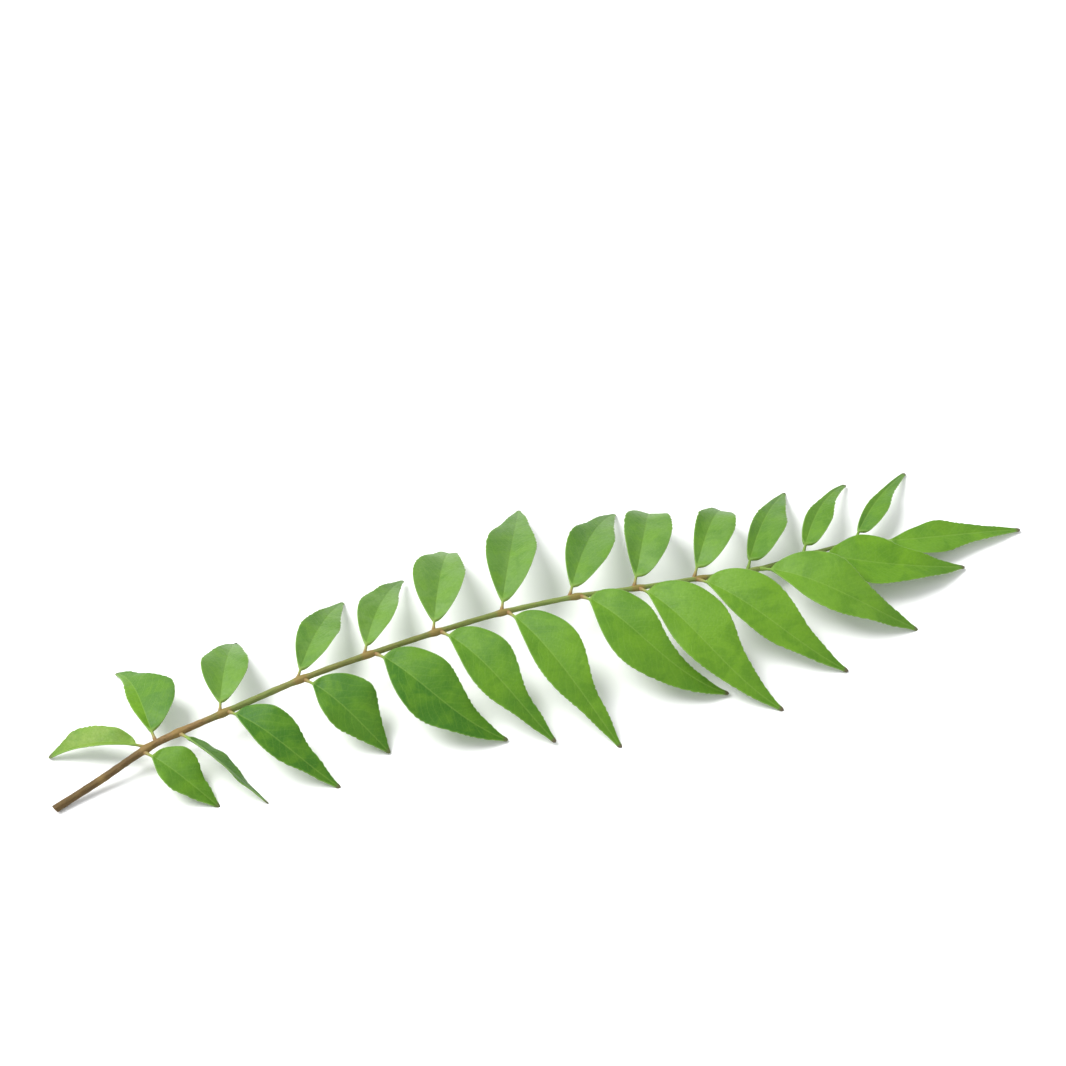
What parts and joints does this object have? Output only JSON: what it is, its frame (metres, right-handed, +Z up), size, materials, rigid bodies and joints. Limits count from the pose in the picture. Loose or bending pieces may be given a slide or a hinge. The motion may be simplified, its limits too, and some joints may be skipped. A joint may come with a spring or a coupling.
{
  "type": "curry leaf sprig",
  "caption": "Cut curry leaf frond lying flat: a thin arched stalk with pointed, folded leaflets in near-opposite pairs and one at its tip.",
  "frame": {"origin": "centre of the frond's bounding box on the table it lies on, at the height of its lowest points", "axes": "+X from the cut end of the stalk towards the end leaflet, +Z up from the table, +Y across the frond to the side whose lowest leaflet points back past the cut end"},
  "size_m": [0.2479, 0.0832, 0.0155],
  "materials": {
    "leaf": "soft satin leaf surface with a thin wax bloom",
    "stalk": "matt young bark, browner at the cut end and at the knots"
  },
  "bodies": {
    "root": {"frond": "leaf"}
  },
  "joints": []
}
